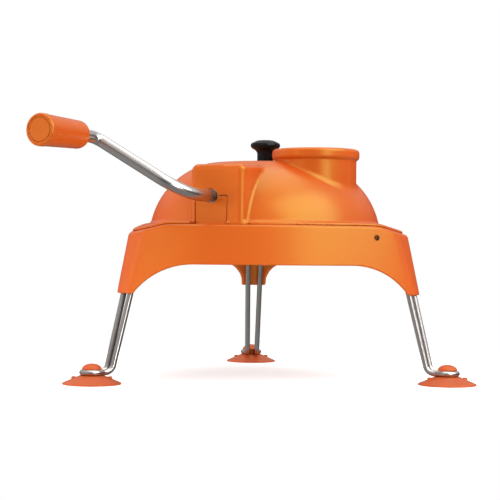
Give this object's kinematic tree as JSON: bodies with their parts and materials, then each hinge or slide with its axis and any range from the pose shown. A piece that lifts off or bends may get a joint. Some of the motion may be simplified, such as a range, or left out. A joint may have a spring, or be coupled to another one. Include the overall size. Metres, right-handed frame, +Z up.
{
  "type": "vegetable cutter",
  "caption": "Hand-cranked rotary vegetable cutter: domed feed cover with hopper over a bevel-geared slicing disc, on wire legs with suction cups.",
  "frame": {"origin": "on the table, below the middle of the whole object's box with the crank as in the picture", "axes": "+Z up along the disc axis, -Y towards the front panel between the left and right legs, +X to the right seen from the front"},
  "size_m": [0.4543, 0.4649, 0.2647],
  "materials": {
    "orange_moulding": "glossy orange moulded plastic with a soft sheen",
    "cup_rubber": "soft orange-red rubber",
    "polished_wire": "polished steel rod",
    "turned_steel": "plain turned steel",
    "screw_steel": "zinc plated fasteners",
    "bush_plastic": "natural bearing plastic",
    "black_plastic": "glossy black plastic",
    "insert_brass": "turned brass",
    "gear_metal": "cast and machined gear",
    "hub_aluminium": "turned aluminium",
    "disc_steel": "brushed stainless sheet",
    "blade_steel": "ground stainless blade"
  },
  "bodies": {
    "stand": {"base_frame": "orange_moulding", "center_axle": "turned_steel", "axle_washer": "turned_steel", "axle_nut": "turned_steel", "crank_bush": "bush_plastic", "panel_screw": "screw_steel", "leg_wire_left": "polished_wire", "leg_wire_right": "polished_wire", "leg_wire_rear": "polished_wire", "suction_cup_left": "cup_rubber", "suction_cup_right": "cup_rubber", "suction_cup_rear": "cup_rubber", "leg_clamp_left": "orange_moulding", "leg_clamp_right": "orange_moulding", "leg_clamp_rear": "orange_moulding", "leg_clamp_screws": "screw_steel"},
    "lid": {"cover": "orange_moulding"},
    "clamp_knob": {"knob": "black_plastic", "knob_insert": "insert_brass", "knob_clip": "turned_steel"},
    "crank": {"crank_rod": "polished_wire", "crank_gear": "gear_metal", "crank_gear_pin": "turned_steel", "grip_washer": "turned_steel", "grip_screw": "screw_steel"},
    "grip": {"crank_grip": "orange_moulding", "grip_cap": "orange_moulding"},
    "disc": {"disc_hub": "hub_aluminium", "hub_gear": "gear_metal", "hub_gear_screw": "screw_steel", "cutting_disc": "disc_steel", "disc_clamp": "disc_steel", "disc_screws": "screw_steel", "slicing_blade_1": "blade_steel", "slicing_blade_2": "blade_steel", "slicing_blade_3": "blade_steel", "blade_rivets": "screw_steel"}
  },
  "joints": [
    {"name": "crank_turn", "type": "hinge", "parent": "stand", "child": "crank", "pos_m": [0.01494, -0.008, 0.1925], "axis": [-0.5, -0.866, 0], "continuous": true},
    {"name": "grip_spin", "type": "hinge", "parent": "crank", "child": "grip", "pos_m": [-0.06274, 0.03685, 0.24898], "axis": [-0.5, -0.866, 0], "continuous": true},
    {"name": "disc_turn", "type": "hinge", "parent": "stand", "child": "disc", "pos_m": [0.01494, -0.008, 0.158], "axis": [0, 0, 1], "continuous": true},
    {"name": "cover_lift", "type": "slide", "parent": "stand", "child": "lid", "axis": [0, 0, 1], "range_m": [0, 0.15]},
    {"name": "knob_turn", "type": "hinge", "parent": "lid", "child": "clamp_knob", "pos_m": [0.01494, -0.008, 0.2325], "axis": [0, 0, 1], "continuous": true}
  ],
  "couplings": [
    {"joint": "disc_turn", "follows": "crank_turn", "ratio": 1.25}
  ]
}
